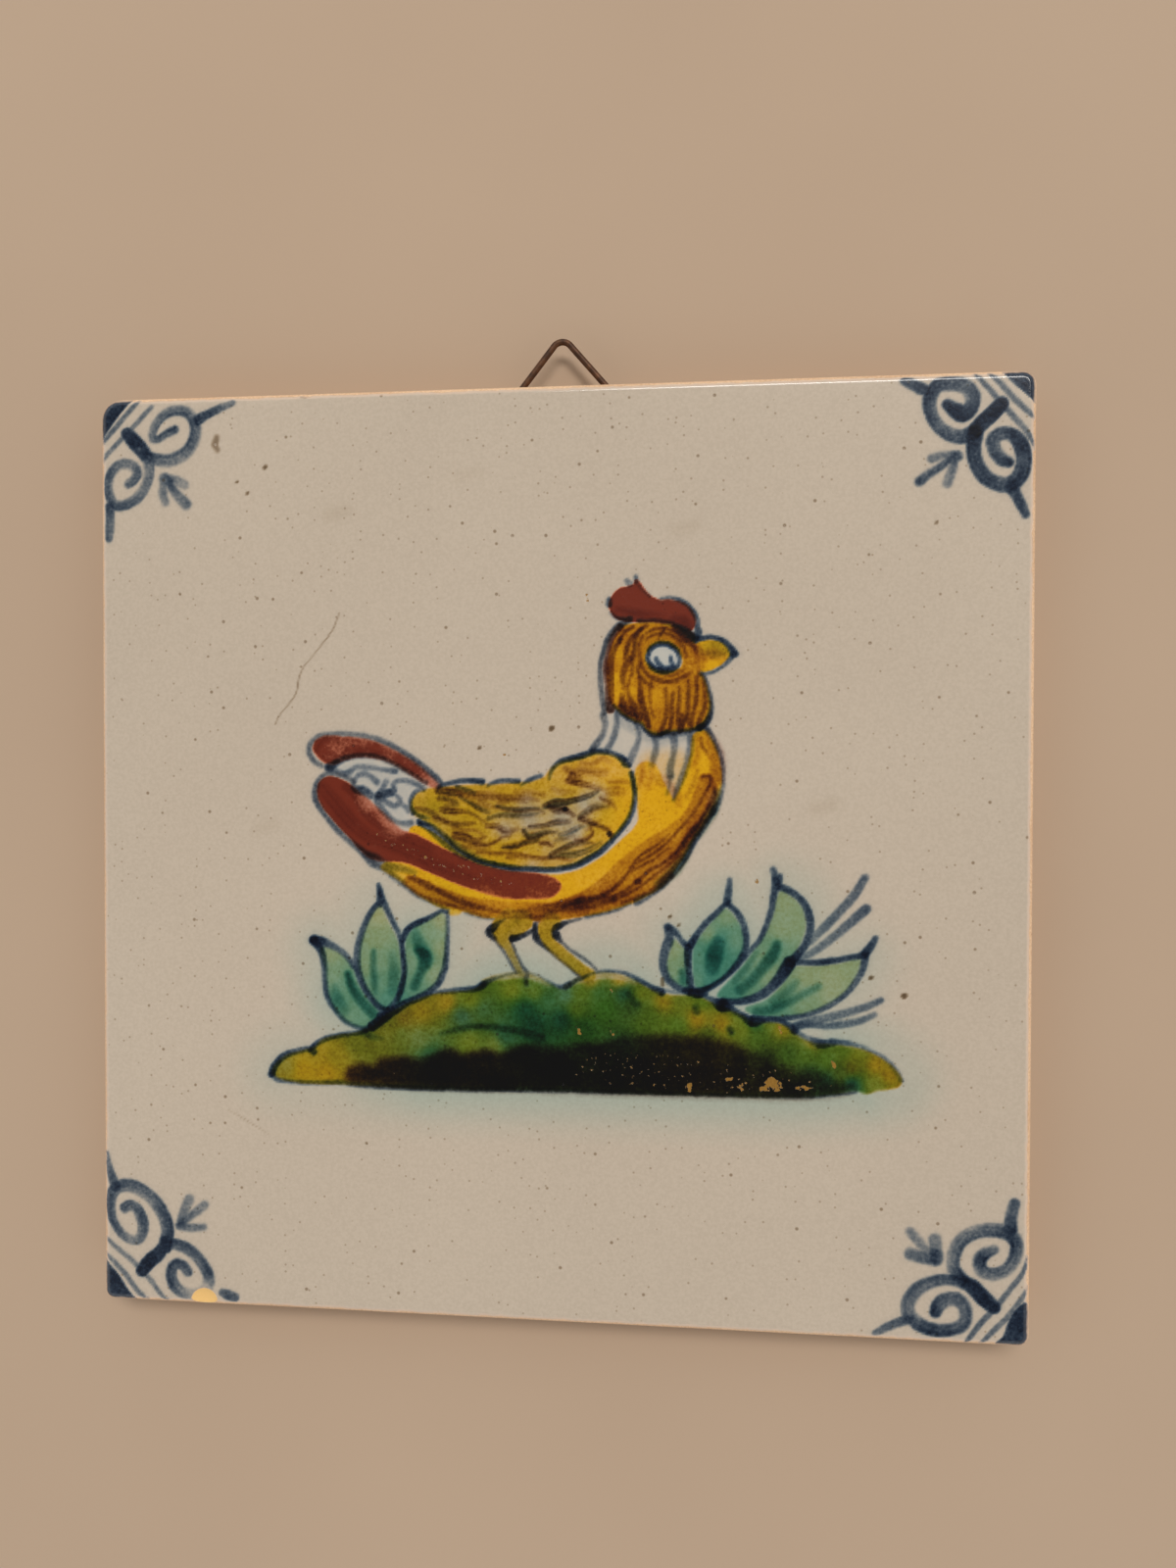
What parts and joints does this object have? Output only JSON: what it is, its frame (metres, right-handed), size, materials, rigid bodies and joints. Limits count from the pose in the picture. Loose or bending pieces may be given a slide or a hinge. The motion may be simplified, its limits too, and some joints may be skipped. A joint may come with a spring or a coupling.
{
  "type": "delft tile",
  "caption": "Square tin-glazed wall tile, hand painted in colours with a hen on a mound and scrolled corners, with a bent wire loop at the top edge for hanging.",
  "frame": {"origin": "centre of the tile's flat back face", "axes": "+Z out of the glazed face, +Y along the face towards the hanging wire, +X to the right of the painted picture"},
  "size_m": [0.13, 0.1378, 0.0075],
  "materials": {
    "painted_tin_glaze": "glossy white tin glaze with in-glaze painting on the face; bare peach-coloured clay on the sides and back",
    "browned_wire": "dull, tarnished dark brown"
  },
  "bodies": {
    "root": {"tile": "painted_tin_glaze", "hanging_wire": "browned_wire"}
  },
  "joints": []
}
